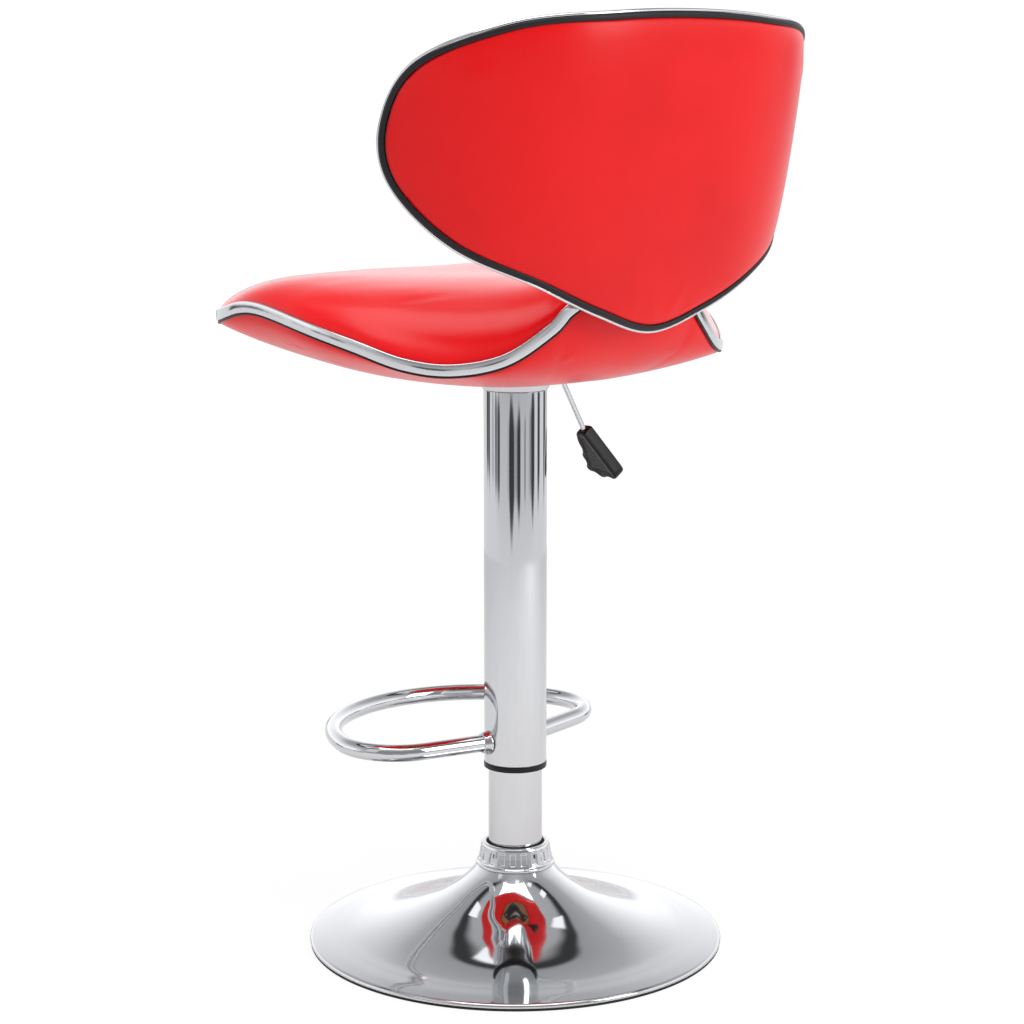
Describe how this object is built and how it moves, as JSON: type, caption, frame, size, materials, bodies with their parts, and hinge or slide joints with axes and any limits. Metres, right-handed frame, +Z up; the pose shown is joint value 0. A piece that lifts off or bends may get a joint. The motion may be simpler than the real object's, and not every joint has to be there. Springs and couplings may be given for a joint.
{
  "type": "adjustable swivel stool",
  "caption": "Bar stool with trumpet base, gas lift column, loop footrest, saddle seat and wrap-round padded back; the seat turns and rises by a side lever.",
  "frame": {"origin": "where the column's axis meets the floor", "axes": "+Z up the column, -Y the way the sitter faces, +X towards the sitter's left"},
  "size_m": [0.4578, 0.4611, 0.8545],
  "materials": {
    "chrome_plate": "bright decorative chrome plate on steel",
    "trim_chrome": "bright chromed flexible trim strip",
    "steel_bare": "zinc-coated steel",
    "paint_black": "black powder coat",
    "plastic_black": "moulded black plastic, fine texture",
    "piping_black": "black faux leather welt",
    "rubber_black": "matte black rubber",
    "leather_red": "smooth red faux leather with fine grain and a soft sheen",
    "plywood": "raw moulded plywood"
  },
  "bodies": {
    "base": {"floor_ring": "rubber_black", "base_bell": "chrome_plate", "ballast_plate": "steel_bare", "tube_flange": "steel_bare", "flange_bolt_1": "steel_bare", "flange_bolt_2": "steel_bare", "flange_bolt_3": "steel_bare", "flange_bolt_4": "steel_bare", "base_collar": "chrome_plate", "stand_tube": "chrome_plate", "tube_end_plate": "steel_bare", "guide_bush": "plastic_black", "bearing_lower_race": "steel_bare"},
    "bearing": {"bearing_cage": "steel_bare"},
    "rod": {"bearing_upper_race": "steel_bare", "piston_rod": "chrome_plate", "rod_washer": "steel_bare", "rod_clip": "steel_bare", "bump_rubber": "rubber_black", "piston": "steel_bare"},
    "seat": {"gas_cylinder": "paint_black", "cylinder_seal": "rubber_black", "cover_tube": "chrome_plate", "cover_ring": "plastic_black", "top_collar": "chrome_plate", "footrest_loop": "chrome_plate", "footrest_collar_left": "chrome_plate", "footrest_collar_right": "chrome_plate", "seat_plate": "paint_black", "plate_bolt_1": "steel_bare", "plate_bolt_2": "steel_bare", "plate_bolt_3": "steel_bare", "plate_bolt_4": "steel_bare", "lever_bracket": "paint_black", "lever_pin": "steel_bare", "seat_board": "plywood", "seat_shell": "leather_red", "seat_cushion": "leather_red", "seat_trim": "trim_chrome", "seat_piping": "piping_black", "back_board": "plywood", "back_pad": "leather_red", "back_panel": "leather_red", "back_trim": "trim_chrome", "back_band": "piping_black", "back_bolt_1": "steel_bare", "back_bolt_2": "steel_bare"},
    "lever": {"lever_rod": "chrome_plate", "lever_grip": "plastic_black"},
    "valve": {"release_pin": "steel_bare"}
  },
  "joints": [
    {"name": "seat_swivel", "type": "hinge", "parent": "base", "child": "rod", "pos_m": [0, 0, 0.03], "axis": [0, 0, 1], "continuous": true},
    {"name": "bearing_turn", "type": "hinge", "parent": "base", "child": "bearing", "pos_m": [0, 0, 0.03], "axis": [0, 0, 1], "continuous": true},
    {"name": "seat_lift", "type": "slide", "parent": "rod", "child": "seat", "axis": [0, 0, 1], "range_m": [0, 0.21]},
    {"name": "lever_pull", "type": "hinge", "parent": "seat", "child": "lever", "pos_m": [-0.031, 0, 0.5495], "axis": [0, 1, 0], "range_deg": [0, 7], "stiffness_Nm_per_rad": 1},
    {"name": "valve_press", "type": "slide", "parent": "seat", "child": "valve", "axis": [0, 0, -1], "range_m": [0, 0.004]}
  ],
  "couplings": [
    {"joint": "bearing_turn", "follows": "seat_swivel", "ratio": 0.5},
    {"joint": "valve_press", "follows": "lever_pull", "m_per_rad": 0.031}
  ]
}
